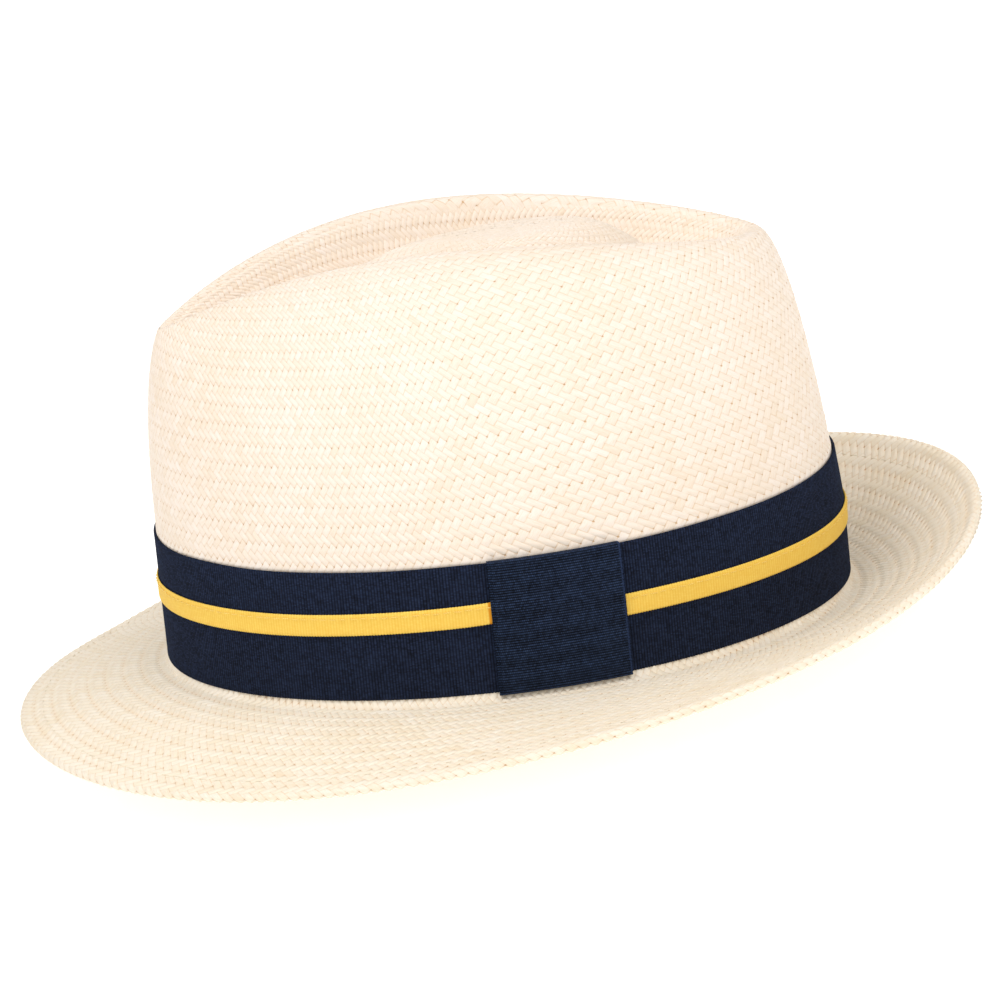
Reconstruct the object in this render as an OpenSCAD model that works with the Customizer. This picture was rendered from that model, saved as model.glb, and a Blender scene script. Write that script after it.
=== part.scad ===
// Woven straw fedora with a snap brim, ribbon band and sewn-in sweatband.
// Millimetres. The hat rests on its brim on the plane z = 0, front towards -Y,
// wearer's left towards +X. Every piece is shaped in the head frame, where the
// break line between crown and brim is level, then set down by place().

/* [Head oval] */
// Half length of the crown's straw wall at the break line
crown_half_len = 104.8; // [90:0.1:120]
// Half width of the crown's straw wall at the break line
crown_half_wid = 82.5; // [70:0.1:95]
// Thickness of the woven straw
straw_t = 1.0; // [0.8:0.1:1.6]

/* [Crown] */
// Height of the crest at the middle of the sides
crest_h = 122.9; // [100:0.1:135]
// Height added at the front of the crest line and taken off at the back
crest_tilt = 4.1; // [0:0.1:8]
// Fall of the crest line towards front and back
crest_fall = 16.0; // [8:0.1:20]
// Extra fall of the crest line at the pinched front
crest_nose = 6.0; // [0:0.1:8]
// Crest line, distance of its front end from the centre
crest_front = 97.3; // [85:0.1:100]
// Crest line, distance of its back end from the centre
crest_back = 87.5; // [75:0.1:95]
// Crest line, half width at its widest
crest_half_wid = 39.9; // [34:0.1:50]
// Roundness of the crest line's front end, 0 is a point
nose_round = 0.2; // [0.15:0.01:0.4]
// Height at which the wall starts to lean inwards
lean_start = 20.4; // [10:0.1:30]
// Depth of the groove below the crest
groove_d = 15.5; // [6:0.1:20]
// Height of the raised island in the middle of the top
island_h = 119.5; // [100:0.1:125]
// Distance of the island's centre behind the middle of the hat
island_back = 12.4; // [0:0.1:25]

/* [Brim] */
// Length of the brim from the centre to the front edge
brim_front = 152.5; // [140:0.1:165]
// Length of the brim from the centre to the back edge
brim_back = 146; // [135:0.1:160]
// Half width of the brim
brim_half_wid = 136.3; // [125:0.1:150]
// How far the snapped-down front edge hangs below the break line
front_drop = 13.5; // [5:0.1:20]
// How far the back edge stands above the break line
back_rise = 26.8; // [15:0.1:32]
// Height of the side edges above the break line
side_rise = 2.1; // [0:0.1:3]
// Radius where the crown turns into the brim
break_r = 3.4; // [2.5:0.1:4.5]
// Width of the turned-under hem
hem_w = 8.5; // [6:0.1:12]
// Diameter of the wire in the hem fold
wire_d = 0.6; // [0.4:0.1:0.8]

/* [Ribbons] */
// Width of the wide ribbon
band_w = 39; // [25:0.5:45]
// Thickness of the wide ribbon
band_t = 0.8; // [0.5:0.1:1.2]
// Height of the wide ribbon's lower edge above the break line
band_z = 2.1; // [1:0.1:4]
// Width of the narrow stripe ribbon
stripe_w = 6.4; // [4:0.1:10]
// Thickness of the narrow stripe ribbon
stripe_t = 0.55; // [0.3:0.05:1]
// Height of the stripe's lower edge above the wide ribbon's lower edge
stripe_up = 20.3; // [10:0.1:28]
// How far the stripe drifts down the band on its way round the hat
stripe_drift = 4; // [0:0.5:8]
// Width of the flat bow wrap
bow_w = 39; // [25:0.5:45]
// Thickness of the flat bow wrap
bow_t = 0.7; // [0.5:0.1:1.2]
// Distance of the bow's middle in front of the hat's middle
bow_forward = 3.6; // [-20:0.1:20]

/* [Inside] */
// Height of the sweatband
sweat_w = 35; // [28:0.5:40]
// Thickness of the sweatband
sweat_t = 1.0; // [0.8:0.1:1.6]
// Diameter of the reed in the sweatband's lower edge
reed_d = 1.6; // [1.2:0.1:2]
// Thickness of sewing thread
thread_d = 0.4; // [0.3:0.05:0.6]

/* [Detail] */
// Columns round the hat
columns = 72; // [48:12:84]

/* [Hidden] */
cols = [for (i = [0:columns - 1]) i * 360 / columns];
slip = 0.1;
band_fit = 0.25;
band_taper = 0.002;
tail_round = 0.02;
wall_rows = 12;
top_rows = 10;
hem_gap = 0.2;
fold_r = straw_t + wire_d / 2 + 0.05;
fold_steps = 5;
brim_rows = 7;
rest_pitch = atan((back_rise + front_drop) / (brim_back + brim_front));
straw_colour = [0.96, 0.91, 0.80];
navy = [0.06, 0.09, 0.20];
yellow = [0.98, 0.72, 0.16];
leather = [0.80, 0.66, 0.47];
thread_colour = [0.93, 0.89, 0.80];
// Node to draw

// ---- small helpers ----
function unit(v) = v / norm(v);
function soft(x) = x * x * (3 - 2 * x);
function clip(x) = max(0, min(1, x));
// blends front, side and back values round the hat
function round_mix(a, f, s, b) =
    let (c = cos(a)) c > 0 ? f * c + s * (1 - c) : b * -c + s * (1 + c);
// plan direction square to the head oval
function out_dir(a) = unit([crown_half_len * sin(a), -crown_half_wid * cos(a), 0]);

// ---- crown surface ----
// teardrop outline of the crest, before it is scaled to its width
function drop_raw(a) =
    sin(a) * sqrt(pow(sin(a / 2), 2) + nose_round * nose_round)
    * pow(pow(cos(a / 2), 2) + tail_round, 0.1);
drop_max = max([for (a = [60:2:140]) drop_raw(a)]);
function crest(a) =
    let (c = cos(a))
    [crest_half_wid * drop_raw(a) / drop_max,
     (crest_back - crest_front) / 2 - (crest_back + crest_front) / 2 * c,
     crest_h + crest_tilt * c - crest_fall * c * c - crest_nose * c * c * c];
// straw wall's outside at angle a and height z
function wall(a, z) =
    let (k = crest(a),
         t = clip((z - lean_start) / (k[2] - lean_start)),
         p = round_mix(a, 3.4, 2.2, 1.12),
         q = round_mix(a, 1.3, 2.0, 1.98),
         f = pow(1 - pow(t, p), 1 / q),
         bx = crown_half_wid * sin(a),
         by = -crown_half_len * cos(a))
    [k[0] + (bx - k[0]) * f, k[1] + (by - k[1]) * f, z];
// top inside the crest: r is 1 on the crest and 0 at the island's centre
function top_at(a, r) =
    let (k = crest(a),
         u = clip((r - 0.4) / 0.6),
         lift = island_h - 4 * r * r + (k[2] - island_h + 4) * soft(u),
         dip = r > 0.74 ? pow(sin(90 * (1 - r) / 0.26), 2) : soft(clip((r - 0.26) / 0.48)))
    [k[0] * r, island_back + (k[1] - island_back) * r, lift - groove_d * dip];
// whole outer skin: u runs 0 to 1 up the wall and 1 to 2 over the top
function skin(a, u) =
    u <= 1 ? wall(a, break_r + (crest(a)[2] - break_r) * (1 - pow(1 - u, 1.8)))
           : top_at(a, 2 - u);
function skin_in(a, u, off) =
    let (n = cross(skin(a + 0.8, u) - skin(a - 0.8, u), skin(a, min(2, u + 0.01)) - skin(a, u - 0.01)))
    skin(a, u) - off * unit(n);

// ---- brim surface ----
function base_pt(a) = [crown_half_wid * sin(a), -crown_half_len * cos(a), 0];
function edge_pt(a) = [brim_half_wid * sin(a), -(cos(a) > 0 ? brim_front : brim_back) * cos(a), 0];
function edge_h(a) =
    let (c = cos(a), even = (back_rise - front_drop) / 2 - side_rise)
    side_rise - (back_rise + front_drop) / 2 * c + even * (1.457 * pow(c, 4) - 0.457 * c * c);
// top face of the brim: distance d out from the crown wall, as [d, height]
function brim_top(a, d, run) =
    d < break_r ? [d, break_r - sqrt(max(0, break_r * break_r - pow(break_r - d, 2)))]
    : [d, (edge_h(a) + fold_r) * pow((d - break_r) / (run - break_r), round_mix(a, 1.25, 1.6, 1.8))];
function brim_side(a, d, run, off) =
    let (t = unit(brim_top(a, d + 0.2, run) - brim_top(a, max(0, d - 0.2), run)))
    brim_top(a, d, run) + off * [t[1], -t[0]];
// closed outline of the brim's cross-section, with its turned-under hem
function brim_section(a) =
    let (run = norm(edge_pt(a) - base_pt(a)),
         roll = run - fold_r,
         outs = concat([0, 0.8, 2.0], [for (j = [0:brim_rows]) break_r + (roll - break_r) * j / brim_rows]),
         mid = brim_top(a, roll, run),
         c = [roll, mid[1] - fold_r],
         hem = roll - hem_w + fold_r)
    concat(
        [for (d = outs) d < 0.1 ? [0, break_r] : brim_top(a, d, run)],
        [for (j = [1:fold_steps]) c + fold_r * [sin(180 * j / (fold_steps + 1)), cos(180 * j / (fold_steps + 1))]],
        [for (j = [0:2]) brim_side(a, roll - (roll - hem) * j / 2, run, 2 * fold_r - 0.25 * j)],
        [for (j = [0:2]) brim_side(a, hem + (roll - hem) * j / 2, run, straw_t + hem_gap + 0.25 * j)],
        [c + (wire_d / 2 + 0.05) * [1, 0]],
        [for (j = [len(outs) - 1:-1:1]) brim_side(a, outs[j], run, straw_t)],
        [[-straw_t, break_r]]);
function brim_column(a) =
    let (o = unit(edge_pt(a) - base_pt(a)))
    [for (p = brim_section(a)) base_pt(a) + p[0] * o + [0, 0, p[1]]];
brim_cols = [for (a = cols) brim_column(a)];

// ---- setting the hat down ----
function pitched(p) = [p[0], p[1] * cos(rest_pitch) + p[2] * sin(rest_pitch),
                       p[2] * cos(rest_pitch) - p[1] * sin(rest_pitch)];
brim_pitched = [for (c = brim_cols) for (p = c) pitched(p)];
sit_z = -min([for (p = brim_pitched) p[2]]);
sit_y = -(min([for (p = brim_pitched) p[1]]) + max([for (p = brim_pitched) p[1]])) / 2;
module place() {
    translate([0, sit_y, sit_z])
    rotate([-rest_pitch, 0, 0])
    children();
}

// ---- solids ----
function mesh_id(i, j, n, m) = (i % n) * m + (j % m);
// closed ring swept round the hat from a list of closed outlines
module ring_solid(rings) {
    n = len(rings);
    m = len(rings[0]);
    polyhedron(points = [for (r = rings) for (p = r) p],
               faces = [for (i = [0:n - 1]) for (j = [0:m - 1]) for (h = [0, 1])
                   h == 0 ? [mesh_id(i, j, n, m), mesh_id(i, j + 1, n, m), mesh_id(i + 1, j, n, m)]
                          : [mesh_id(i + 1, j, n, m), mesh_id(i, j + 1, n, m), mesh_id(i + 1, j + 1, n, m)]],
               convexity = 10);
}
// open run of outlines with flat ends, each end cut into the triangles listed in ends
module run_solid(rings, ends) {
    n = len(rings);
    m = len(rings[0]);
    polyhedron(points = [for (r = rings) for (p = r) p],
               faces = concat(
                   [for (i = [0:n - 2]) for (j = [0:m - 1]) for (h = [0, 1])
                       h == 0 ? [i * m + j, i * m + (j + 1) % m, (i + 1) * m + j]
                              : [(i + 1) * m + j, i * m + (j + 1) % m, (i + 1) * m + (j + 1) % m]],
                   [for (t = ends) [t[2], t[1], t[0]]],
                   [for (t = ends) [for (j = t) (n - 1) * m + j]]),
               convexity = 10);
}
// ribbons keep to the head oval instead of leaning with the wall
function ribbon_pt(a, o, z) =
    base_pt(a) * (1 - band_taper * z / band_w) + (band_fit + o) * out_dir(a) + [0, 0, z];
function ribbon_strip(a, o0, o1, z0, z1) =
    [ribbon_pt(a, o0, z0), ribbon_pt(a, o1, z0), ribbon_pt(a, o1, z1), ribbon_pt(a, o0, z1)];

module crown() {
    rows = wall_rows + top_rows;
    us = concat([for (j = [0:wall_rows]) j / wall_rows], [for (j = [1:top_rows - 1]) 1 + j / top_rows]);
    outer = [for (u = us) for (a = cols) skin(a, u)];
    inner = [for (u = us) for (a = cols)
        u == 0 ? wall(a, break_r) - straw_t * out_dir(a) : skin_in(a, u, straw_t)];
    n = columns;
    half = rows * n;
    tips = [[0, island_back, island_h], [0, island_back, island_h - straw_t]];
    color(straw_colour)
    place()
    polyhedron(points = concat(outer, inner, tips),
               faces = concat(
                   [for (r = [0:rows - 2]) for (i = [0:n - 1]) for (h = [0, 1])
                       let (k = (i + 1) % n)
                       h == 0 ? [r * n + i, (r + 1) * n + i, r * n + k]
                              : [r * n + k, (r + 1) * n + i, (r + 1) * n + k]],
                   [for (r = [0:rows - 2]) for (i = [0:n - 1]) for (h = [0, 1])
                       let (k = (i + 1) % n)
                       h == 0 ? [half + r * n + i, half + r * n + k, half + (r + 1) * n + i]
                              : [half + r * n + k, half + (r + 1) * n + k, half + (r + 1) * n + i]],
                   [for (i = [0:n - 1]) [(rows - 1) * n + i, 2 * half, (rows - 1) * n + (i + 1) % n]],
                   [for (i = [0:n - 1])
                       [half + (rows - 1) * n + i, half + (rows - 1) * n + (i + 1) % n, 2 * half + 1]],
                   [for (i = [0:n - 1]) for (h = [0, 1])
                       let (k = (i + 1) % n)
                       h == 0 ? [i, k, half + i] : [k, half + k, half + i]]),
               convexity = 10);
}

module brim() {
    color(straw_colour)
    place()
    ring_solid([for (c = brim_cols) [for (j = [len(c) - 1:-1:0]) c[j]]]);
}

// round cord at distance d out from the wall line and height h
function cord_ring(a, d, h, r, m) =
    let (o = unit(edge_pt(a) - base_pt(a)))
    [for (j = [0:m - 1]) base_pt(a) + (d + r * cos(360 * j / m)) * o + [0, 0, h + r * sin(360 * j / m)]];

module edge_wire() {
    color([0.75, 0.76, 0.78])
    place()
    ring_solid([for (a = cols)
        let (run = norm(edge_pt(a) - base_pt(a)), mid = brim_top(a, run - fold_r, run))
        cord_ring(a, run - fold_r, mid[1] - fold_r, wire_d / 2 - slip / 2, 6)]);
}

module hem_stitching() {
    color(thread_colour)
    place()
    ring_solid([for (a = cols)
        let (run = norm(edge_pt(a) - base_pt(a)), d = run - hem_w + 1.2,
             p = brim_side(a, d, run, -thread_d / 2 - 0.06))
        cord_ring(a, p[0], p[1], thread_d / 2, 4)]);
}

module band_ribbon() {
    color(navy)
    place()
    ring_solid([for (a = cols) ribbon_strip(a, 0, band_t, band_z, band_z + band_w)]);
}

// the stripe drifts down the band on its way round, from the wrap's front edge to its back edge
stripe_lo = band_z + stripe_up;
wrap_mid = acos(bow_forward / crown_half_len);
wrap_half = asin(bow_w / 2 / crown_half_len);
function drift(a) =
    let (behind = (a - wrap_mid + wrap_half + 360) % 360,
         way = 1 - (behind - 2 * wrap_half) / (360 - 2 * wrap_half),
         ends = [stripe_drift * 0.2, -stripe_drift * 0.8])
    behind < 2 * wrap_half ? ends[0] + (ends[1] - ends[0]) * soft(behind / (2 * wrap_half))
    : ends[0] + (ends[1] - ends[0]) * (1.25 * pow(way, 0.6) - 0.25 * soft(clip((way - 0.85) / 0.15)));
module stripe_ribbon() {
    color(yellow)
    place()
    ring_solid([for (a = cols)
        ribbon_strip(a, band_t + slip, band_t + slip + stripe_t,
                     stripe_lo + drift(a), stripe_lo + stripe_w + drift(a))]);
}

module stripe_stitching() {
    o = band_t + slip + stripe_t + 0.05;
    color([0.96, 0.78, 0.30])
    place()
    ring_solid([for (a = cols)
        let (z = stripe_lo + stripe_w - 1.5 + drift(a))
        ribbon_strip(a, o, o + thread_d / 2, z, z + thread_d)]);
}

// flat wrap over the ribbons' joint, with short returns over both ribbon edges
module bow_wrap() {
    clear = band_t + slip + stripe_t + 0.05 + thread_d / 2 + 0.15;
    lo = band_z - 0.25;
    hi = band_z + band_w + 0.25;
    turn = 0.35;
    color(navy * 1.25)
    place()
    run_solid([for (i = [0:8])
        let (a = wrap_mid - wrap_half + 2 * wrap_half * i / 8)
        [ribbon_pt(a, turn, lo), ribbon_pt(a, turn, lo - bow_t), ribbon_pt(a, clear + bow_t * 0.6, lo - bow_t),
         ribbon_pt(a, clear + bow_t, lo), ribbon_pt(a, clear + bow_t, hi),
         ribbon_pt(a, clear + bow_t * 0.6, hi + bow_t), ribbon_pt(a, turn, hi + bow_t), ribbon_pt(a, turn, hi),
         ribbon_pt(a, clear, hi), ribbon_pt(a, clear, lo)]],
        ends = [[9, 0, 1], [9, 1, 2], [9, 2, 3], [9, 3, 4], [9, 4, 8], [8, 4, 5], [8, 5, 6], [8, 6, 7]]);
}

sweat_in = straw_t + 0.4;
sweat_z = 2.8;
module sweatband() {
    zs = [sweat_z, lean_start, sweat_z + sweat_w];
    color(leather)
    place()
    ring_solid([for (a = cols)
        concat([for (z = zs) wall(a, z) - sweat_in * out_dir(a)],
               [for (k = [2:-1:0]) wall(a, zs[k]) - (sweat_in + sweat_t) * out_dir(a)])]);
}

// point p = [offset outwards, height] on the head oval
function oval_pt(a, p) = base_pt(a) + p[0] * out_dir(a) + [0, 0, p[1]];
reed_c = [-(straw_t + reed_d / 2 + 0.5), 1.5];
module sweatband_reed() {
    color([0.90, 0.90, 0.88])
    place()
    ring_solid([for (a = cols)
        [for (j = [0:7]) oval_pt(a, reed_c + reed_d / 2 * [cos(45 * j), sin(45 * j)])]]);
}

// woven tape folded round the reed, with its long leg on the sweatband's face
tape_t = 0.25;
tape_top = 7;
tape_face = -(sweat_in + sweat_t + slip);
module reed_tape() {
    ri = reed_d / 2 + slip;
    section = concat(
        [[tape_face - tape_t, tape_top], [tape_face - tape_t, 3.6]],
        [for (j = [0:4]) reed_c + (ri + tape_t) * [cos(180 + 45 * j), sin(180 + 45 * j)]],
        [reed_c + [ri + tape_t, 0.8], reed_c + [ri, 0.8]],
        [for (j = [4:-1:0]) reed_c + ri * [cos(180 + 45 * j), sin(180 + 45 * j)]],
        [[tape_face, 3.4], [tape_face, tape_top]]);
    color([0.92, 0.90, 0.84])
    place()
    ring_solid([for (a = cols) [for (p = section) oval_pt(a, p)]]);
}

module sweatband_stitching() {
    o = tape_face - tape_t - 0.05;
    color(thread_colour)
    place()
    ring_solid([for (a = cols)
        [for (p = [[o - thread_d / 2, 5.2], [o, 5.2], [o, 5.2 + thread_d], [o - thread_d / 2, 5.2 + thread_d]])
            oval_pt(a, p)]]);
}

// small flat bow over the sweatband's joint at the back
bow_loop = 11;
function loop_pts(len, wid) =
    [for (i = [0:23]) let (t = 15 * i) [len * (1 - cos(t)) / 2, wid * sin(t) * (1 - cos(t)) / 2]];
module sweatband_bow() {
    face = crown_half_len - sweat_in - sweat_t;
    tall = 5;
    color(navy)
    place()
    translate([0, face - 2.7, 14]) {
        for (s = [-1, 1])
            scale([s, 1, 1])
            linear_extrude(tall)
            difference() {
                polygon(loop_pts(bow_loop, 1.1));
                translate([0.9, 0]) polygon(loop_pts(bow_loop - 1.6, 0.7));
            }
        translate([-1.6, -1.3, -0.3]) cube([3.2, 3.7, tall + 0.6]);
    }
}

crown();
brim();
edge_wire();
hem_stitching();
band_ribbon();
stripe_ribbon();
stripe_stitching();
bow_wrap();
sweatband();
sweatband_reed();
reed_tape();
sweatband_stitching();
sweatband_bow();
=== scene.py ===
import math
import bmesh
import bpy
import numpy as np
from mathutils import Matrix, Vector


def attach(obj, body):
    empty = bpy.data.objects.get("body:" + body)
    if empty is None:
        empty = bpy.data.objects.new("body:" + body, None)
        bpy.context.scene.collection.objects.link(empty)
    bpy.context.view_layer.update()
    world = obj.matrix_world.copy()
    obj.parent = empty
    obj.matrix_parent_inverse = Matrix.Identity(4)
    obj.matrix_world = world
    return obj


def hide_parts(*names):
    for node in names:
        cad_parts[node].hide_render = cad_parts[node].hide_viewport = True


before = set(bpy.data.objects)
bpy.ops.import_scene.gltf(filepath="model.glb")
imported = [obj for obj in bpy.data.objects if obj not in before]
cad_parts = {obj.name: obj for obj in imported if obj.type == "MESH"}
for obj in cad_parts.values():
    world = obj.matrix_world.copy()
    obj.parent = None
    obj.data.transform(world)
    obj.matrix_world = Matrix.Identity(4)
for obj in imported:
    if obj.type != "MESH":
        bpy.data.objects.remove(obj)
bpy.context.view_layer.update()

# ---------------------------------------------------------------- sizes, in mm, as in the design
HALF_LEN, HALF_WID, STRAW = 104.8, 82.5, 1.0
BRIM_FRONT, BRIM_BACK, BRIM_SIDE = 152.5, 146.0, 136.3
FRONT_DROP, BACK_RISE, SIDE_RISE = 13.5, 26.8, 2.1
BREAK_R, FOLD_R, HEM_W = 3.4, 1.35, 8.5
CREST_FRONT, CREST_BACK, CREST_SIDE = 97.3, 87.5, 39.9
CREST_H, CREST_TILT, CREST_FALL, CREST_NOSE = 122.9, 4.1, 16.0, 6.0
ISLAND_H, ISLAND_BACK, GROOVE = 119.5, 12.4, 15.5
BAND_W, BAND_T, BAND_Z, BAND_FIT, BAND_TAPER = 39.0, 0.8, 2.1, 0.25, 0.002
STRIPE_W, STRIPE_T, STRIPE_LO, STRIPE_O = 6.4, 0.55, 22.4, 0.9
BOW_W, BOW_T, BOW_FORWARD, BOW_CLEAR = 39.0, 0.7, 3.6, 1.85
SWEAT_IN, SWEAT_T, SWEAT_Z, SWEAT_W, LEAN = 1.4, 1.0, 2.8, 35.0, 20.4
REED_R, REED_OUT, REED_Z = 0.8, -2.3, 1.5
FAR_FRONT_DIP = 2.0     # the brim hangs a little lower in front on the wearer's right
STRIPE_DRIFT = 4.0
PITCH = math.atan((BACK_RISE + FRONT_DROP) / (BRIM_BACK + BRIM_FRONT))
SIT_Y, SIT_Z = 2.04713, 15.4663


def row(p):
    """Head frame in mm to the row frame in metres."""
    p = np.asarray(p, float)
    c, s = math.cos(PITCH), math.sin(PITCH)
    return np.stack([p[..., 0], p[..., 1] * c + p[..., 2] * s + SIT_Y,
                     p[..., 2] * c - p[..., 1] * s + SIT_Z], -1) * 0.001


def wrap(a):
    return (a + np.pi) % (2 * np.pi) - np.pi


def soft(x):
    x = np.clip(x, 0, 1)
    return x * x * (3 - 2 * x)


def blend(a, f, s, b):
    """A value that is f in front, s at the sides and b at the back."""
    c = np.cos(a)
    return np.where(c > 0, f * c + s * (1 - c), -b * c + s * (1 + c))


def drop(a):
    """Teardrop outline of the crest: pinched in front, full behind."""
    return np.sin(a) * np.sqrt(np.sin(a / 2) ** 2 + 0.04) * (np.cos(a / 2) ** 2 + 0.02) ** 0.1


DROP_MAX = drop(np.radians(np.arange(60, 141, 2))).max()


def crest(a):
    c = np.cos(a)
    middle, reach = (CREST_BACK - CREST_FRONT) / 2, (CREST_BACK + CREST_FRONT) / 2
    height = CREST_H + CREST_TILT * c - CREST_FALL * c * c - CREST_NOSE * c ** 3
    return CREST_SIDE * drop(a) / DROP_MAX, middle - reach * c, height


def wall(a, z):
    kx, ky, kz = crest(a)
    t = np.clip((z - LEAN) / (kz - LEAN), 0, 1)
    f = (1 - t ** blend(a, 3.4, 2.2, 1.12)) ** (1 / blend(a, 1.3, 2.0, 1.98))
    x = kx + (HALF_WID * np.sin(a) - kx) * f
    y = ky + (-HALF_LEN * np.cos(a) - ky) * f
    return np.stack([x, y, z + 0 * a], -1)


def top_at(a, r):
    kx, ky, kz = crest(a)
    lift = ISLAND_H - 4 * r * r + (kz - ISLAND_H + 4) * soft((r - 0.4) / 0.6)
    dip = np.where(r > 0.74, np.sin(np.pi / 2 * (1 - r) / 0.26) ** 2, soft((r - 0.26) / 0.48))
    return np.stack([kx * r, ISLAND_BACK + (ky - ISLAND_BACK) * r, lift - GROOVE * dip], -1)


def base(a):
    return np.stack([HALF_WID * np.sin(a), -HALF_LEN * np.cos(a), 0 * a], -1)


def edge(a):
    reach = np.where(np.cos(a) > 0, BRIM_FRONT, BRIM_BACK)
    return np.stack([BRIM_SIDE * np.sin(a), -reach * np.cos(a), 0 * a], -1)


def edge_h(a):
    c = np.cos(a)
    even = (BACK_RISE - FRONT_DROP) / 2 - SIDE_RISE
    dip = FAR_FRONT_DIP * np.exp(-((wrap(a) + math.radians(47)) / math.radians(15)) ** 2)
    return SIDE_RISE - (BACK_RISE + FRONT_DROP) / 2 * c + even * (1.457 * c ** 4 - 0.457 * c * c) - dip


def run_of(a):
    return np.linalg.norm(edge(a) - base(a), axis=-1)


def brim_z(a, d):
    run = run_of(a)
    curve = (edge_h(a) + FOLD_R) * np.clip((d - BREAK_R) / (run - BREAK_R), 0, 2) ** blend(a, 1.25, 1.6, 1.8)
    inner = BREAK_R - np.sqrt(np.maximum(0, BREAK_R ** 2 - (BREAK_R - np.clip(d, 0, BREAK_R)) ** 2))
    return np.where(d < BREAK_R, inner, curve)


def brim_point(a, d, z):
    """The point d mm out from the break along the brim, at height z."""
    out = (edge(a) - base(a)) / run_of(a)[..., None]
    return base(a) + d[..., None] * out + np.stack([0 * a, 0 * a, z], -1)


def down_from(slope):
    """Unit normal below a line of this slope."""
    size = np.sqrt(1 + slope ** 2)
    return slope / size, -1 / size


def out_dir(a):
    o = np.stack([HALF_LEN * np.sin(a), -HALF_WID * np.cos(a), 0 * a], -1)
    return o / np.linalg.norm(o, axis=-1, keepdims=True)


def oval(a, o, z):
    return base(a) + o[..., None] * out_dir(a) + np.stack([0 * a, 0 * a, z + 0 * a], -1)


def hug(a, z):
    """How far the wall has leant in behind the band, less what the band's taper already follows."""
    lean = np.linalg.norm((wall(a, z) - base(a))[..., :2], axis=-1)
    return np.maximum(0, lean - BAND_TAPER * z / BAND_W * np.linalg.norm(base(a), axis=-1) - 0.15)


def ribbon(a, o, z):
    """A point o mm out from the band's inner face, at height z."""
    taper = (1 - BAND_TAPER * z / BAND_W)[..., None]
    out = (BAND_FIT + o - hug(a, z))[..., None]
    return base(a) * taper + out * out_dir(a) + np.stack([0 * a, 0 * a, z + 0 * a], -1)


# arc length round the head oval, so that even steps of length can be turned into angles
ARC_A = np.linspace(-np.pi, np.pi, 7201)
_seg = np.linalg.norm(np.diff(base(ARC_A), axis=0), axis=1)
ARC_S = np.concatenate([[0], np.cumsum(_seg)])
AROUND = ARC_S[-1]


def angle_at(s):
    turns = np.floor(s / AROUND)
    return np.interp(s - turns * AROUND, ARC_S, ARC_A) + turns * 2 * np.pi


def wander(x, count, size, seed):
    """Smooth periodic wobble of x (0 to 1), from the first few waves round the hat."""
    r = np.random.default_rng(seed)
    out = 0 * x
    for k in range(1, count + 1):
        out = out + r.normal() * np.sin(2 * np.pi * (k * x + r.random())) / math.sqrt(count)
    return out * size


# ---------------------------------------------------------------- making meshes
def make(name, verts, quads, uv=None, smooth=True, tris=None, uv_name="weave"):
    faces = quads.tolist() + (tris.tolist() if tris is not None and len(tris) else [])
    me = bpy.data.meshes.new(name)
    me.from_pydata(verts.reshape(-1, 3).tolist(), [], faces)
    if uv is not None:
        layer = me.uv_layers.new(name=uv_name)
        layer.data.foreach_set("uv", np.asarray(uv, np.float32).reshape(-1))
    me.polygons.foreach_set("use_smooth", [smooth] * len(me.polygons))
    me.update()
    ob = bpy.data.objects.new(name, me)
    bpy.context.scene.collection.objects.link(ob)
    return ob


def grid(name, pts, closed_u=False, closed_v=False, uv=None, uv_name="weave", flip=False):
    """Mesh from pts[i, j]; uv[i, j] has one more step in each closed direction."""
    n, m = pts.shape[:2]
    i = np.arange(n if closed_u else n - 1)
    j = np.arange(m if closed_v else m - 1)
    I, J = np.meshgrid(i, j, indexing="ij")

    def vid(a, b):
        return (a % n) * m + (b % m)

    corners = [(I, J), (I + 1, J), (I + 1, J + 1), (I, J + 1)]
    if flip:
        corners = corners[::-1]
    quads = np.stack([vid(a, b) for a, b in corners], -1).reshape(-1, 4)
    loops = None
    if uv is not None:
        loops = np.stack([uv[a, b] for a, b in corners], -2).reshape(-1, 2)
    return make(name, row(pts), quads, loops, uv_name=uv_name)


# ---------------------------------------------------------------- twill weave
HOLE_ROW = 3      # the step of the twill whose corners carry the row of pinholes
JITTER = 0.022    # how far a strand strays from its line, as a share of its width


def float_height(d, oa, ob, depth, arch, hole):
    """Height of a weave vertex over the skin: oa, ob are places inside the cell, d its step in the twill."""
    d = d % 4
    is_a = d < 2
    t = np.where(is_a, (ob + (1 - d)) / 2, (oa + (d - 2)) / 2)
    inside = arch * (0.15 + 0.85 * np.sin(np.pi * np.clip(t, 0, 1)))
    on_a, on_b = oa == 0, ob == 0
    mid_b = on_a & ~on_b & (d == 3)
    mid_a = on_b & ~on_a & (d == 0)
    par = (on_a & ~on_b & (d == 1)) | (on_b & ~on_a & (d == 2))
    h = np.where(on_a | on_b, -depth * 0.8, inside)
    h = np.where(mid_a | mid_b, arch, h)
    h = np.where(par, -depth * 0.55, h)
    corner = on_a & on_b
    h = np.where(corner, -depth, h)
    return np.where(corner & (d == HOLE_ROW), -hole, h)


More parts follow.
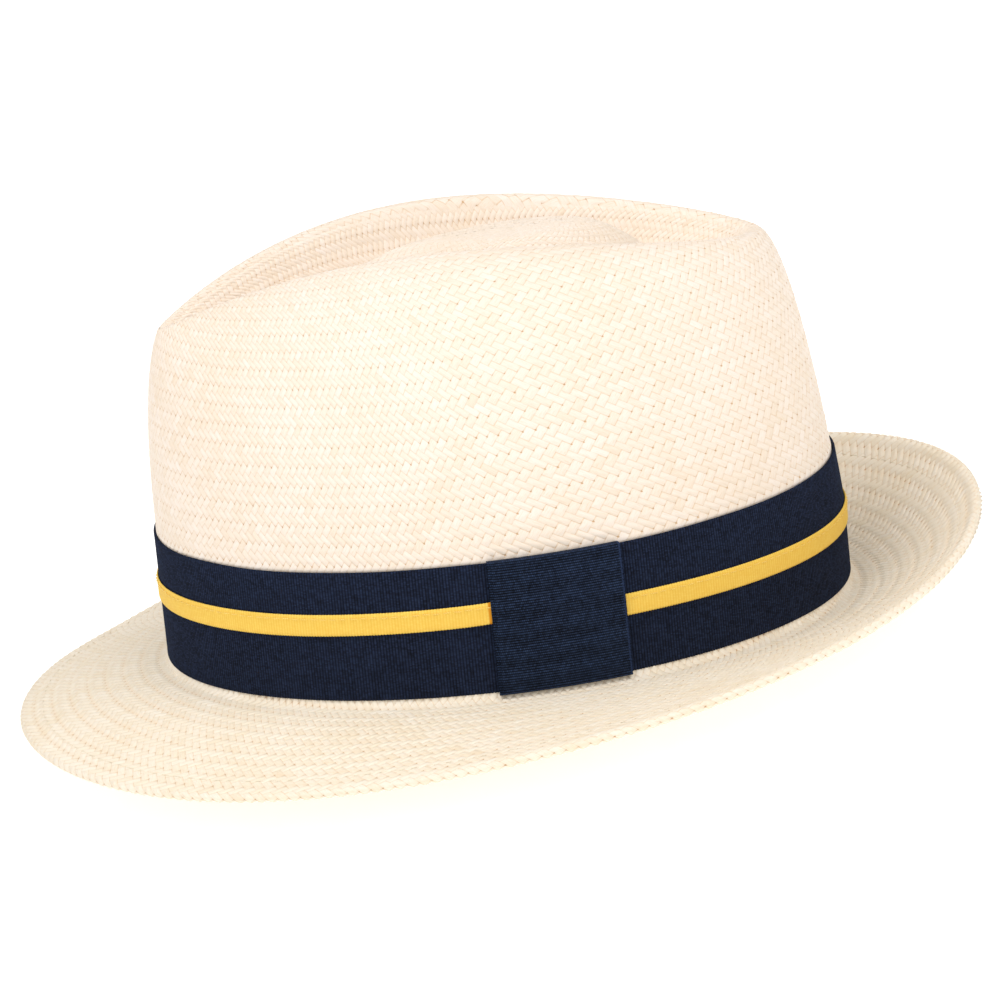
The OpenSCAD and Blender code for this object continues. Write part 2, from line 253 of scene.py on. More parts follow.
def woven(name, n, s0, s1, at, steps, depth=0.085, arch=0.12, hole=0.14, keep=None, seed=1, sink=None,
          flip=False):
    """Twill woven skin. at(u, s) gives points in the head frame in mm; u has n steps round, s runs outwards.
    The grid's lines lie along the strands, so that every strand has its own crowned face and edges."""
    k = len(steps)
    off = np.array(steps)
    m0, m1 = int(math.floor(s0 * 2)) * k, int(math.ceil(s1 * 2)) * k
    ms = np.arange(m0, m1 + 1)
    I = np.arange(n * k)
    r = np.random.default_rng(seed)
    bump_a, bump_b = r.uniform(-1, 1, n) * JITTER, r.uniform(-1, 1, n) * JITTER
    lift_a, lift_b = r.normal(size=n) * 0.18 + 1, r.normal(size=n) * 0.18 + 1
    ig, mg = np.meshgrid(I, ms, indexing="ij")
    jg = ig - mg
    ca, cb = ig // k, jg // k
    oa, ob = off[ig % k], off[jg % k]
    a, b = ca + oa, cb + ob
    s, u = (a - b) / 2, (a + b) / 2
    p = at(u, s)
    e = 0.05
    pu = (at(u + e, s) - at(u - e, s)) / (2 * e)
    ps = (at(u, s + e) - at(u, s - e)) / (2 * e)
    nrm = np.cross(pu, ps)
    nrm /= np.maximum(np.linalg.norm(nrm, axis=-1, keepdims=True), 1e-9)
    if flip:
        nrm = -nrm
    da, db = bump_a[ca % n], bump_b[cb % n]
    p = p + 0.5 * (pu + ps) * da[..., None] + 0.5 * (pu - ps) * db[..., None]
    d = (ca - cb) % 4
    h = float_height(d, oa, ob, depth, arch, hole)
    tall = np.where(d < 2, lift_a[ca % n], lift_b[cb % n])
    h = np.where(h > 0, h * tall, h)
    if sink is not None:
        h = h - sink(u, s)
    p = p + nrm * h[..., None]
    w = len(ms)

    def vid(i, m):
        return (i % (n * k)) * w + (m - m0)

    qi, qm = np.meshgrid(I, ms[1:-1], indexing="ij")
    ring = [(qi, qm), (qi, qm - 1), (qi + 1, qm), (qi + 1, qm + 1)]
    if flip:
        ring = ring[::-1]
    quads = np.stack([vid(i, m) for i, m in ring], -1)

    def ab(i, m):
        j = i - m
        return np.stack([i // k + off[i % k], j // k + off[j % k]], -1)

    loops = np.stack([ab(i, m) for i, m in ring], -2)
    quads, loops = quads.reshape(-1, 4), loops.reshape(-1, 4, 2)
    # the saw teeth along both rims
    t0 = np.stack([vid(I, m0), vid(I + 1, m0), vid(I + 1, m0 + 1)], -1)
    t1 = np.stack([vid(I, m1), vid(I, m1 - 1), vid(I + 1, m1)], -1)
    l0 = np.stack([ab(I, m0 + 0 * I), ab(I + 1, m0 + 0 * I), ab(I + 1, m0 + 1 + 0 * I)], -2)
    l1 = np.stack([ab(I, m1 + 0 * I), ab(I, m1 - 1 + 0 * I), ab(I + 1, m1 + 0 * I)], -2)
    tris = np.concatenate([t0, t1])
    tl = np.concatenate([l0, l1])
    if flip:
        tris, tl = tris[:, ::-1], tl[:, ::-1]
    pts = p.reshape(-1, 3)
    if keep is not None:
        ok = keep(u, s).reshape(-1)
        qk = ok[quads].any(axis=1)
        tk = ok[tris].any(axis=1)
        quads, loops, tris, tl = quads[qk], loops[qk], tris[tk], tl[tk]
        used = np.unique(np.concatenate([quads.reshape(-1), tris.reshape(-1)]))
        new = np.full(len(pts), -1)
        new[used] = np.arange(len(used))
        pts, quads, tris = pts[used], new[quads], new[tris]
    uv = np.concatenate([loops.reshape(-1, 2), tl.reshape(-1, 2)])
    return make(name, row(pts), quads, uv, tris=tris)


# where the grid's lines fall across one strand
FINE = (0, 0.15, 0.85)

# crown: strands round the head, narrower in front, and how far the weave leans up the wall
CROWN_N = 172
WALL_S = 40
_w = 1 / (3.0 + 0.95 * soft((np.abs(np.degrees(ARC_A)) - 55) / 35))
_cum = np.concatenate([[0], np.cumsum((_w[1:] + _w[:-1]) / 2 * np.diff(ARC_S))])
U_TABLE = _cum / _cum[-1] * CROWN_N
_deg = np.degrees(ARC_A) % 360
LEAN_TABLE = 0.55 * soft((_deg - 20) / 65) * (1 - soft((_deg - 150) / 140))


def crown_angle(u, s):
    """Angle of weave line u at ring s: the lines lean towards the front as they go up."""
    u, s = np.broadcast_arrays(u, s)
    shift = np.clip(s, 0, WALL_S + 4)
    shift = shift - shift * shift / (2.6 * WALL_S)
    out = np.empty(u.shape)
    keys, inv = np.unique(np.round(s, 4), return_inverse=True)
    inv = inv.reshape(u.shape)
    order = np.argsort(inv.reshape(-1), kind="stable")
    flat_u, flat_s = u.reshape(-1), shift.reshape(-1)
    res = np.empty(flat_u.shape)
    cuts = np.searchsorted(inv.reshape(-1)[order], np.arange(len(keys) + 1))
    for q in range(len(keys)):
        idx = order[cuts[q]:cuts[q + 1]]
        table = U_TABLE + LEAN_TABLE * flat_s[idx[0]]
        lo = table[0]
        uu = flat_u[idx] - lo
        turns = np.floor(uu / CROWN_N)
        res[idx] = np.interp(uu - turns * CROWN_N, table - lo, ARC_A) + turns * 2 * np.pi
    return res.reshape(u.shape)


RING = 2.9        # spacing of the crown's rings
STEEP = 1.8       # how the rows of heights crowd towards the crest


def meridian_tables(a_count=361, rows=160):
    """Heights at even steps of length up the wall, and the whole length, at each angle."""
    a = np.linspace(-np.pi, np.pi, a_count)
    v = np.linspace(0, 1, rows)
    A, V = np.meshgrid(a, v, indexing="ij")
    kz = crest(A)[2]
    z = BREAK_R + (kz - BREAK_R) * (1 - (1 - V) ** STEEP)
    P = wall(A, z)
    steps = np.cumsum(np.linalg.norm(np.diff(P, axis=1), axis=-1), axis=1)
    length = np.concatenate([np.zeros((a_count, 1)), steps], 1)
    frac = length / length[:, -1:]
    return a, np.stack([np.interp(v, frac[i], z[i]) for i in range(a_count)]), v, length[:, -1]


MER_A, MER_Z, MER_V, MER_L = meridian_tables()


def wall_z(a, f):
    """Height of the point a fraction f of the way up the wall, by length."""
    x = (wrap(a) + np.pi) / (2 * np.pi) * (len(MER_A) - 1)
    y = np.clip(f, 0, 1) * (len(MER_V) - 1)
    i = np.clip(x.astype(int), 0, len(MER_A) - 2)
    j = np.clip(y.astype(int), 0, len(MER_V) - 2)
    fx, fy = x - i, y - j
    return ((MER_Z[i, j] * (1 - fy) + MER_Z[i, j + 1] * fy) * (1 - fx)
            + (MER_Z[i + 1, j] * (1 - fy) + MER_Z[i + 1, j + 1] * fy) * fx)


def wall_len(a):
    return np.interp(wrap(a), MER_A, MER_L)


TOP_LAP = 3.5     # how far the wall's weave runs on past the crest, over the top's
DIVE = 0.35       # how far each skin dives under the other at the end of that lap


def top_width(a):
    kx, ky, kz = crest(a)
    return np.hypot(kx, ky - ISLAND_BACK)


def crown_at(u, s):
    """Rings keep one spacing all round, and run out over the crest where the crown is lower."""
    a = crown_angle(u, s)
    full = wall_len(a)
    length = np.clip(s * RING, 0, full + TOP_LAP + 4)
    low = wall(a, wall_z(a, length / full))
    over = np.clip(length - full, 0, None)
    high = top_at(a, np.clip(1 - over / np.maximum(top_width(a), 1), 0, 1))
    return np.where((length <= full)[..., None], low, high)


def crown_keep(u, s):
    return s * RING < wall_len(crown_angle(u, s)) + TOP_LAP


def crown_sink(u, s):
    """The wall's skin dives under the top's where they overlap."""
    over = s * RING - wall_len(crown_angle(u, s))
    return DIVE * soft((over - TOP_LAP + 1.2) / 1.2)


WALL_TOP = (MER_L.max() + TOP_LAP) / RING
crown = woven("crown_wall", CROWN_N, 0, WALL_TOP, crown_at, FINE, seed=3, keep=crown_keep, sink=crown_sink)
pieces = [crown]


TOP_RINGS = 38


def top_r(a, ring):
    """Share of the way out from the middle: the rings are spaced more evenly than plain ovals."""
    return np.clip(ring, 0, 1) ** (1 / (top_width(a) / 65) ** 0.6)


def top_zone(n, r_out, r_in, seed):
    """One ring of the top, with n strands; strands are fewer towards the middle as the weave starts there."""
    a_mid = np.linspace(-np.pi, np.pi, 721)
    ring = top_at(a_mid, top_r(a_mid, (r_out + r_in) / 2))
    seg = np.concatenate([[0], np.cumsum(np.linalg.norm(np.diff(ring, axis=0), axis=1))])
    u_t = seg / seg[-1] * n
    rows_s = max(2, int(round((r_out - r_in) * TOP_RINGS)))

    def where(u, s):
        turns = np.floor(u / n)
        a = np.interp(u - turns * n, u_t, a_mid) + turns * 2 * np.pi
        return a, top_r(a, r_out + (r_in - r_out) * s / rows_s)

    def past(u, s):
        a, r = where(u, s)
        return (1 - r) * top_width(a) - TOP_LAP

    def at(u, s):
        return top_at(*where(u, s))

    def keep(u, s):
        return past(u, s) > -1.4

    def sink(u, s):
        first = DIVE * soft((0.6 - past(u, s)) / 1.2)
        return np.maximum(first, 0.22 * soft(1 - s / 0.8) * (r_out < 0.9))

    return woven("crown_top_%d" % seed, n, 0, rows_s, at, FINE, seed=seed, keep=keep, sink=sink)


# each zone's strands, outer and inner rim, and seed
TOP_ZONES = [(210, 1.0, 0.72, 11), (156, 0.74, 0.50, 12), (110, 0.52, 0.31, 13), (70, 0.33, 0.18, 14),
             (40, 0.20, 0.08, 15), (16, 0.10, 0.0, 16)]
for zone in TOP_ZONES:
    pieces.append(top_zone(*zone))


def inner_crown():
    """The crown's inner face, a straw's thickness in from the outer one."""
    n, rows = 480, 90
    a = np.linspace(-np.pi, np.pi, n + 1)[:-1]
    v = np.concatenate([np.linspace(0, 1, rows), 1 + np.linspace(0, 1, 44)[1:-1]])
    A, V = np.meshgrid(a, v, indexing="ij")
    z = BREAK_R + (crest(A)[2] - BREAK_R) * (1 - (1 - np.clip(V, 0, 1)) ** STEEP)
    P = np.where((V <= 1)[..., None], wall(A, z), top_at(A, np.clip(2 - V, 0, 1)))
    du = np.roll(P, -1, 0) - np.roll(P, 1, 0)
    dv = np.gradient(P, axis=1)
    nr = np.cross(du, dv)
    nr /= np.maximum(np.linalg.norm(nr, axis=-1, keepdims=True), 1e-9)
    P = P - nr * STRAW
    uu = np.linspace(0, CROWN_N, n + 1)[:, None] + 0 * v[None]
    ss = v[None] * WALL_S + 0 * uu
    return grid("crown_inside", P, closed_u=True, uv=np.stack([uu + ss, uu - ss], -1), flip=True)


pieces.append(inner_crown())

# brim: one woven skin over the top, round the rolled edge and back under it as the hem
BRIM_S = 2.8      # spacing of the brim's rings
BRIM_N = 252
BRIM_TURN = 0.10  # how far the weave turns round per ring
FOLD_LEN = math.pi * FOLD_R


def brim_steps():
    mid = base(ARC_A) * 0.5 + edge(ARC_A) * 0.5
    seg = np.concatenate([[0], np.cumsum(np.linalg.norm(np.diff(mid, axis=0), axis=1))])
    return seg / seg[-1] * BRIM_N


BRIM_U = brim_steps()


def brim_angle(u, s):
    v = u - BRIM_TURN * s
    turns = np.floor(v / BRIM_N)
    return np.interp(v - turns * BRIM_N, BRIM_U, ARC_A) + turns * 2 * np.pi


def brim_skin(a, length):
    """Point on the brim's outer skin, length mm along it from the break: top, roll, then hem underneath."""
    run = run_of(a)
    roll = run - FOLD_R
    cz = brim_z(a, roll) - FOLD_R
    t = np.clip(length - roll, 0, FOLD_LEN) / FOLD_R
    under = np.clip(length - roll - FOLD_LEN, 0, None)
    d = np.minimum(length, roll)
    z = brim_z(a, d)
    slope = (brim_z(a, roll - under + 0.2) - brim_z(a, roll - under - 0.2)) / 0.4
    nx, nz = down_from(slope)
    d_u, z_u = roll - under + nx * 2 * FOLD_R, brim_z(a, roll - under) + nz * 2 * FOLD_R
    d_r, z_r = roll + FOLD_R * np.sin(t), cz + FOLD_R * np.cos(t)
    dd = np.where(length <= roll, d, np.where(under <= 0, d_r, d_u))
    zz = np.where(length <= roll, z, np.where(under <= 0, z_r, z_u))
    return brim_point(a, dd, zz)


RUN_MAX = run_of(ARC_A).max()


def brim_length(u, s):
    """Rings follow the brim's edge, and run in under the band where the brim is narrower."""
    a = brim_angle(u, s)
    return a, s * BRIM_S - (RUN_MAX - run_of(a))


def brim_at(u, s):
    a, length = brim_length(u, s)
    return brim_skin(a, np.clip(length, 0, run_of(a) - 2 * FOLD_R + FOLD_LEN + HEM_W))


def brim_keep(u, s):
    a, length = brim_length(u, s)
    return (length > 0) & (length < run_of(a) - 2 * FOLD_R + FOLD_LEN + HEM_W)


def ring_dip(u, s):
    """The brim's rings stand a little proud of the rows of holes between them."""
    return 0.11 * (0.5 + 0.5 * np.cos(np.pi * (s - 1.5))) ** 2


longest = RUN_MAX - 2 * FOLD_R + FOLD_LEN + HEM_W
brim = woven("brim_top", BRIM_N, 0, longest / BRIM_S, brim_at, FINE, seed=5, keep=brim_keep, depth=0.11,
             arch=0.15, hole=0.18, sink=ring_dip, flip=True)
brim_pieces = [brim]


def brim_under():
    """The brim's lower face, a straw's thickness below the upper one."""
    n = 600
    a = np.linspace(-np.pi, np.pi, n + 1)[:-1]
    f = np.linspace(0, 1, 40)
    A, F = np.meshgrid(a, f, indexing="ij")
    run = run_of(A)
    d = F * (run - FOLD_R)
    z = brim_z(A, d)
    e = 0.2
    s = (brim_z(A, d + e) - brim_z(A, np.maximum(d - e, 0))) / (d + e - np.maximum(d - e, 0))
    nx, nz = down_from(s)
    dd, zz = d + nx * STRAW, z + nz * STRAW
    dd, zz = np.where(d < 0.01, -STRAW, dd), np.where(d < 0.01, BREAK_R, zz)
    P = brim_point(A, dd, zz)
    aa = np.linspace(-np.pi, np.pi, n + 1)
    ss = (f[None] * run_of(aa)[:, None] + RUN_MAX - run_of(aa)[:, None]) / BRIM_S
    uu = np.interp(aa, ARC_A, BRIM_U)[:, None] + BRIM_TURN * ss
    return grid("brim_underside", P, closed_u=True, uv=np.stack([uu + ss, uu - ss], -1))


brim_pieces.append(brim_under())


# ---------------------------------------------------------------- ribbons
BOW_MID = math.acos(BOW_FORWARD / HALF_LEN)
BOW_HALF = math.asin(BOW_W / 2 / HALF_LEN)


def round_angles(n):
    """n angles at even steps of length round the hat."""
    return angle_at(np.linspace(0, AROUND, n + 1)[:-1])


def round_grid(name, P, z, flip=False):
    """Closed ring of cloth from P[i, j], with uv in mm: length round the hat, and height z."""
    n, m = z.shape
    uu = (np.arange(n + 1) * AROUND / n)[:, None] + np.zeros((1, m + 1))
    vv = np.concatenate([z, z[:, :1]], 1)
    vv = np.concatenate([vv, vv[:1]], 0)
    uv = np.stack([uu, vv], -1)
    return grid(name, P, closed_u=True, closed_v=True, uv=uv, uv_name="cloth", flip=flip)


def strip(name, n, profile):
    """Closed profile of (o, z) points swept round the band."""
    a = round_angles(n)
    o, z = profile(a)
    return round_grid(name, ribbon(a[:, None] + 0 * o, o, z), z)


def stripe_drift(a):
    """The stripe drifts down the band on its way round, from the wrap's front edge to its back edge."""
    deg = np.degrees(a)
    wide = 2 * math.degrees(BOW_HALF)
    behind = (deg - math.degrees(BOW_MID) + wide / 2) % 360
    way = np.clip(1 - (behind - wide) / (360 - wide), 0, 1)
    lo, hi = -0.8 * STRIPE_DRIFT, 0.2 * STRIPE_DRIFT
    under = hi + (lo - hi) * soft(behind / wide)
    rest = hi + (lo - hi) * (1.25 * way ** 0.6 - 0.25 * soft((way - 0.85) / 0.15))
    return np.where(behind < wide, under, rest)


RIB = 0.875       # pitch of the band's ribs
RIB_STEPS = 4     # mesh steps in each rib
BAND_RIBS = int(round(AROUND / RIB))


def ribs_along(n):
    """The ribs' wave at n mesh steps, from -0.5 to 0.5."""
    return -0.5 * np.cos(2 * np.pi * np.arange(n) / RIB_STEPS)


def band_profile(a):
    """Ribbed face with a firm woven edge above and below, and a plain back."""
    n = len(a)
    rib = ribs_along(n)[:, None]
    edge_wave = wander(np.arange(n) / n, 14, 0.12, 22)[:, None]
    low = np.array([0, 0.12, 0.5, 2])
    zz = np.concatenate([low, [6, 11, 17, 23, 29, 34], BAND_W - low[::-1]])[None]
    firm = [0.42, 0.62, 0.74, 0.70]
    oz = np.array(firm + [0.69] * 6 + firm[::-1])[None]
    tooth = (zz > BAND_W - 0.3) * 1.0 - (zz < 0.2)
    o = oz + 0.18 * rib
    z = BAND_Z + zz + edge_wave * (zz > 30) + 0.07 * rib * tooth
    back_z = BAND_Z + np.array([[BAND_W - 0.2, 20.0, 0.2]])
    o = np.concatenate([o, 0.03 + np.zeros((n, 3))], 1)
    z = np.concatenate([z, back_z + np.zeros((n, 3))], 1)
    return o, z


band = strip("band_ribbon_cloth", BAND_RIBS * RIB_STEPS, band_profile)


def stripe_profile(a):
    n = len(a)
    rib = ribs_along(n)[:, None]
    wave = (wander(np.arange(n) / n, 12, 0.10, 31) + stripe_drift(a))[:, None]
    zz = np.array([0, 0.25, 0.8, 2.0, 3.2, 4.4, 5.6, 6.15, 6.4])
    oz = np.array([0.22, 0.42, 0.46, 0.46, 0.46, 0.46, 0.46, 0.42, 0.22])
    side = np.array([-1, -0.5, 0, 0, 0, 0, 0, 0.5, 1])
    o = STRIPE_O + oz[None] + 0.07 * rib
    z = STRIPE_LO + zz[None] + wave + side[None] * 0.14 * (rib + 0.5)
    o = np.concatenate([o, STRIPE_O + 0.02 + np.zeros((n, 2))], 1)
    z = np.concatenate([z, STRIPE_LO + wave + np.array([[6.2, 0.2]])], 1)
    return o, z


stripe = strip("stripe_ribbon_cloth", BAND_RIBS * RIB_STEPS, stripe_profile)


BOW_RIBS = 46
BOW_RIB = (BAND_W + 0.5) / BOW_RIBS
BOW_TURN = 0.45       # radius of the turn over the band's edges
BOW_PAST = 0.15       # how far the wrap's face runs past the band's edges
UNDER_STEP = 0.5      # how much lower the wrap's under layer shows along its front edge
UNDER_W = 1.25        # how wide that strip is
BOW_BACK = 0.38       # how far the ends of the returns stand off the wall


def bow_wrap():
    """Ribbed face of the wrap, and its returns over the band's two edges."""
    cols = 40
    first = np.array([0, 0.3, 0.9, UNDER_W - 0.1, UNDER_W, 1.5]) / BOW_W
    x = np.concatenate([first, np.linspace(2.2 / BOW_W, 1, cols - len(first))])
    a = BOW_MID - BOW_HALF + 2 * BOW_HALF * x
    x = x[:, None]
    lo, hi = BAND_Z - BOW_PAST, BAND_Z + BAND_W + BOW_PAST
    k = np.arange(BOW_RIBS * RIB_STEPS + 1)
    z_face = lo + (hi - lo) * k / (BOW_RIBS * RIB_STEPS)
    rib = 0.11 * np.cos(2 * np.pi * k / RIB_STEPS)
    o_face = BOW_CLEAR + BOW_T - 0.08 + rib
    turn = np.linspace(0, np.pi / 2, 6)[1:]
    top_o = BOW_CLEAR + (BOW_T - 0.1) * np.cos(turn)
    top_z = hi + BOW_TURN * np.sin(turn)
    o_t = np.linspace(top_o[-1], BOW_BACK, 7)[1:]
    inner = [BOW_BACK, BOW_BACK + 0.6, BOW_CLEAR]
    out = np.concatenate([o_face, top_o, o_t, inner, inner[::-1], o_t[::-1], top_o[::-1]])
    inner_z = [hi + 0.03, hi + 0.03, hi, lo, lo - 0.03, lo - 0.03]
    zz = np.concatenate([z_face, top_z, hi + BOW_TURN + 0 * o_t, inner_z, lo - BOW_TURN + 0 * o_t,
                         lo - BOW_TURN * np.sin(turn[::-1])])
    o = out[None] + 0 * x
    z = zz[None] + 0 * x
    face = (np.arange(len(out)) < len(o_face))[None]
    sag = 0.10 * np.sin(np.pi * (z - lo) / (hi - lo)) * np.sin(2 * np.pi * x + 0.6)
    under = UNDER_STEP * soft((UNDER_W - x * BOW_W) / 0.1)
    o = o + np.where(face, sag - under, 0)
    P = ribbon(a[:, None] + 0 * o, o, z)
    m = len(out)
    along = np.concatenate([[0], np.cumsum(np.hypot(np.diff(out), np.diff(zz)))])
    along = np.concatenate([along, [along[-1] + 0.5]]) + BOW_RIB / 2
    uv = np.stack([(x * BOW_W) + 0 * along[None], along[None] + 0 * x], -1)
    ob = grid("bow_wrap_cloth", P, closed_v=True, uv=uv, uv_name="cloth")
    me = ob.data
    bm = bmesh.new()
    bm.from_mesh(me)
    bm.verts.ensure_lookup_table()
    ends = [[bm.verts[j] for j in range(m)][::-1], [bm.verts[(cols - 1) * m + j] for j in range(m)]]
    for loop in ends:
        f = bm.faces.new(loop)
        f.smooth = False
    bmesh.ops.triangulate(bm, faces=[f for f in bm.faces if len(f.verts) > 4])
    bm.to_mesh(me)
    bm.free()
    return ob


bow = bow_wrap()


# ---------------------------------------------------------------- threads and cords
def tubes(name, paths, r, sides=6, uv_name="cloth"):
    """Round threads along paths of points in the head frame, closed at both ends."""
    V, Q, T, UVq, UVt = [], [], [], [], []
    at = 0
    ang = 2 * np.pi * np.arange(sides) / sides
    for path, closed in paths:
        path = np.asarray(path)
        n = len(path)
        tan = (np.roll(path, -1, 0) - np.roll(path, 1, 0)) if closed else np.gradient(path, axis=0)
        tan /= np.linalg.norm(tan, axis=1, keepdims=True)
        up = np.array([0, 0, 1.0]) + 0 * tan
        side = np.cross(tan, up)
        side /= np.linalg.norm(side, axis=1, keepdims=True)
        up = np.cross(side, tan)
        rad = r * np.ones(n)
        if not closed:
            rad = r * np.sqrt(np.clip(1 - (np.abs(np.linspace(-1, 1, n)) ** 6), 0.05, 1))
        P = path[:, None] + rad[:, None, None] * (np.cos(ang)[None, :, None] * side[:, None]
                                                  + np.sin(ang)[None, :, None] * up[:, None])
        V.append(P.reshape(-1, 3))
        i = np.arange(n if closed else n - 1)
        I, J = np.meshgrid(i, np.arange(sides), indexing="ij")
        corners = [(I, J), (I + 1, J), (I + 1, J + 1), (I, J + 1)]
        Q.append(np.stack([at + (u % n) * sides + v % sides for u, v in corners], -1).reshape(-1, 4))
        s = np.concatenate([[0], np.cumsum(np.linalg.norm(np.diff(path, axis=0), axis=1))])
        s = np.append(s, s[-1] + 1)
        UVq.append(np.stack([np.stack([s[u], v / sides], -1) for u, v in corners], -2).reshape(-1, 2))
        if not closed:
            for first, order in ((at, 1), (at + (n - 1) * sides, -1)):
                for j in range(1, sides - 1):
                    tri = [first, first + j, first + j + 1]
                    T.append(tri if order > 0 else tri[::-1])
                    UVt.append([[0, 0], [0, 0], [0, 0]])
        at += n * sides
    T = np.array(T) if T else None
    uv = np.concatenate(UVq + ([np.array(UVt).reshape(-1, 2)] if T is not None else []))
    return make(name, row(np.concatenate(V)), np.concatenate(Q), uv, tris=T, uv_name=uv_name)


def stitches(name, at, start, end, long, gap, r, sink, lift, seed, wobble=0.06):
    """Separate stitches along arc length; at(a, off, up) gives the point, sinking at both ends."""
    r2 = np.random.default_rng(seed)
    paths, s = [], start
    while s + long < end:
        q = np.linspace(0, 1, 7)
        L = long * (1 + r2.normal() * 0.06)
        a = angle_at(s + q * L)
        side = r2.normal() * wobble + (q - 0.5) * r2.normal() * wobble * 2
        up = lift - sink * np.abs(2 * q - 1) ** 4
        paths.append((at(a, side, up), False))
        s += long + gap
    return tubes(name, paths, r)


def stripe_thread(a, off, up):
    z = STRIPE_LO + STRIPE_W - 1.3 + off + stripe_drift(a)
    return ribbon(a, STRIPE_O + STRIPE_T + 0.05 + up, z)


stripe_stitches = stitches("stripe_stitches", stripe_thread, 0.4, AROUND, 2.3, 0.75, 0.16, 0.30, 0.08, 41)


def hem_thread(a, off, up):
    d = run_of(a) - HEM_W + 1.2 + off
    return brim_point(a, d, brim_z(a, d) + up)


hem_stitches = stitches("hem_stitches", hem_thread, 0.2, AROUND, 2.8, 0.5, 0.13, 0.30, 0.10, 42)


def wire():
    a = round_angles(480)
    d = run_of(a) - FOLD_R
    P = brim_point(a, d, brim_z(a, d) - FOLD_R)
    return tubes("edge_wire_line", [(P, True)], 0.25, 8)


wire_ob = wire()

# ---------------------------------------------------------------- inside the hat
FACE = -(SWEAT_IN + SWEAT_T + 0.1)


def sweat():
    """Leather strip that follows the wall, with rounded edges and a slight ripple."""
    n = 900
    x = np.arange(n) / n
    half = np.array([0, 0.25, 1.2, 4, 8, 13])
    zz = np.concatenate([half, [SWEAT_W / 2], [22, 27, 31, 34, 34.75, SWEAT_W]])
    round_edge = np.sqrt(np.clip(np.minimum(zz, SWEAT_W - zz) / 0.35, 0, 1))
    inner = -(SWEAT_IN + SWEAT_T / 2 + SWEAT_T / 2 * round_edge)
    ripple = wander(x, 17, 0.10, 51)[:, None] * np.sin(np.pi * zz / SWEAT_W)[None]
    O = np.concatenate([inner[None] + ripple * 0.9, -(SWEAT_IN + 0.02) + 0 * ripple], 1)
    heights = np.concatenate([zz, zz[::-1]])[None]
    Z = heights + SWEAT_Z + wander(x, 11, 0.12, 52)[:, None] * (heights > 30)
    A = round_angles(n)[:, None] + 0 * O
    return round_grid("sweatband_strip", wall(A, Z) + O[..., None] * out_dir(A), Z, flip=True)


sweat_ob = sweat()


def ring_profile(name, n, prof):
    """Closed profile of (o, z) points swept round the head oval."""
    a = round_angles(n)
    o = np.array([p[0] for p in prof])[None] + 0 * a[:, None]
    z = np.array([p[1] for p in prof])[None] + 0 * a[:, None]
    P = oval(a[:, None] + 0 * o, o, z)
    along = np.concatenate([[0], np.cumsum(np.hypot(np.diff(o[0]), np.diff(z[0]))), [0]])
    along[-1] = along[-2] + 0.3
    uu = (np.arange(n + 1) * AROUND / n)[:, None] + np.zeros((1, len(prof) + 1))
    uv = np.stack([uu, along[None] + 0 * uu], -1)
    return grid(name, P, closed_u=True, closed_v=True, uv=uv, uv_name="cloth")


def arc(r, t0, t1, steps):
    """Profile points round the reed."""
    return [(REED_OUT + r * math.cos(t), REED_Z + r * math.sin(t)) for t in np.linspace(t0, t1, steps)]


reed_ob = ring_profile("sweatband_reed_line", 480, arc(REED_R, 0, -2 * math.pi, 17)[:-1])
# the tape lies on the sweatband's face, turns under the reed and comes up behind it
TAPE_T = 0.25
TAPE_TOP = 7.0
tape_in = REED_R + 0.1
tape_out = tape_in + TAPE_T
tape_profile = ([(FACE - TAPE_T, TAPE_TOP), (FACE - TAPE_T, 5.2), (FACE - TAPE_T, 3.6)]
                + arc(tape_out, math.pi, 2 * math.pi, 13)
                + [(REED_OUT + tape_out, REED_Z + 0.8), (REED_OUT + tape_in, REED_Z + 0.8)]
                + arc(tape_in, 2 * math.pi, math.pi, 13)
                + [(FACE, 3.4), (FACE, 5.2), (FACE, TAPE_TOP)])
tape_ob = ring_profile("reed_tape_cloth", 900, tape_profile)


def sweat_thread(a, off, up):
    return oval(a, FACE - TAPE_T - 0.05 - up, 5.35 + off)


sweat_stitches = stitches("sweatband_stitches", sweat_thread, 0.3, AROUND, 2.6, 0.8, 0.15, 0.30, 0.05, 43)


SMALL_TALL, SMALL_LEN, SMALL_DEEP = 5.0, 11.0, 1.1
SMALL_Z = 14.0


def bow_loop(sgn):
    """One loop of the small bow: a flat teardrop's outer and inner face, over the ribbon's ribbed height."""
    q = np.linspace(0, 2 * np.pi, 73)[:-1]
    k = np.arange(21)
    z = SMALL_TALL * k / 20
    x = SMALL_LEN * (1 - np.cos(q)) / 2
    y = SMALL_DEEP * np.sin(q) * (1 - np.cos(q)) / 2
    xi = 0.5 + (SMALL_LEN - 1.3) * (1 - np.cos(q)) / 2
    yi = (SMALL_DEEP - 0.35) * np.sin(q) * (1 - np.cos(q)) / 2
    fan = 1 + 0.10 * (x / SMALL_LEN)
    X = np.stack([x, xi], 0)[:, :, None] + 0 * z
    Y = np.stack([y, yi], 0)[:, :, None] + 0.03 * np.cos(np.pi * k)[None, None]
    Z = (z - SMALL_TALL / 2)[None, None] * fan[None, :, None] + SMALL_TALL / 2
    outer, inner = np.stack([sgn * X, Y + 0 * Z, Z + 0 * X], -1)
    return np.concatenate([outer, inner[:, ::-1]], 1)


def squircle(c, power, size):
    return np.sign(c) * np.abs(c) ** power * size


